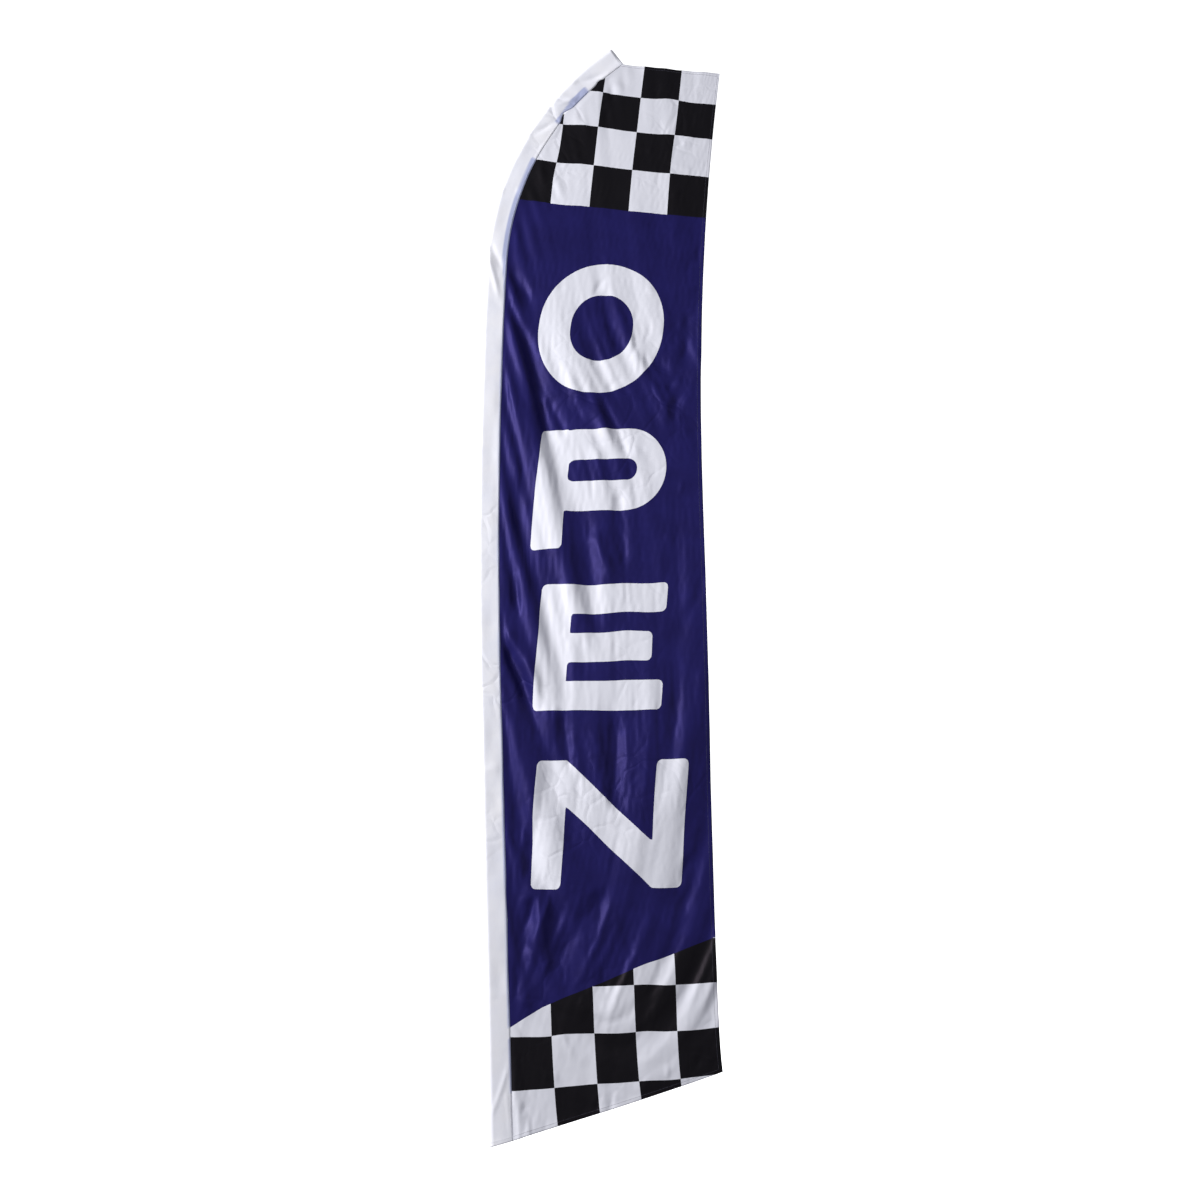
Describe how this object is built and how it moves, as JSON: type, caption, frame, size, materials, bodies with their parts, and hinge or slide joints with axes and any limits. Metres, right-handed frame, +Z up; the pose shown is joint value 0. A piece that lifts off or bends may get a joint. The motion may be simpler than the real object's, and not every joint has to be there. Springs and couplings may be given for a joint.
{
  "type": "feather flag",
  "caption": "Tall feather flag with a sewn pole sleeve, a sectional tube-and-rod pole bowed inside it, hemmed printed panel and a socket foot for a ground stake.",
  "frame": {"origin": "centre of the open end of the stake socket at the very bottom of the pole", "axes": "+Z up the straight lower tube, +X from the pole towards the fly edge of the cloth, -Y out of the printed face"},
  "size_m": [0.8558, 0.0383, 3.4924],
  "materials": {
    "black_plastic": "moulded matt black nylon",
    "aluminium_tube": "mill-finished drawn tube",
    "aluminium_turned": "turned",
    "steel_ring": "plated, crimped",
    "fibreglass": "pultruded glass fibre, off-white",
    "cap_rubber": "soft moulded rubber",
    "elastic_tape": "woven elastic tape",
    "sleeve_cloth": "white knitted polyester",
    "pocket_cloth": "heavy woven nylon",
    "printed_cloth": "knitted polyester printed with a blue field, white word and black and white checks",
    "thread": "white polyester sewing thread"
  },
  "bodies": {
    "pole_foot": {"foot_ferrule": "black_plastic", "lower_tube": "aluminium_tube", "joint_spigot": "aluminium_turned", "lower_stop_ring": "steel_ring", "upper_stop_ring": "steel_ring"},
    "flag": {"middle_tube": "aluminium_tube", "rod_reducer": "black_plastic", "tip_rod": "fibreglass", "tip_cap": "cap_rubber", "swivel_collar": "black_plastic", "tie_band": "elastic_tape", "pole_sleeve": "sleeve_cloth", "tip_pocket": "pocket_cloth", "flag_panel": "printed_cloth", "seam_thread": "thread", "fly_hem_thread": "thread", "top_hem_thread": "thread", "bottom_hem_thread": "thread", "mouth_thread": "thread", "tip_thread": "thread"}
  },
  "joints": [
    {"name": "flag_turn", "type": "hinge", "parent": "pole_foot", "child": "flag", "pos_m": [0, 0, 1.21], "axis": [0, 0, 1], "continuous": true}
  ]
}
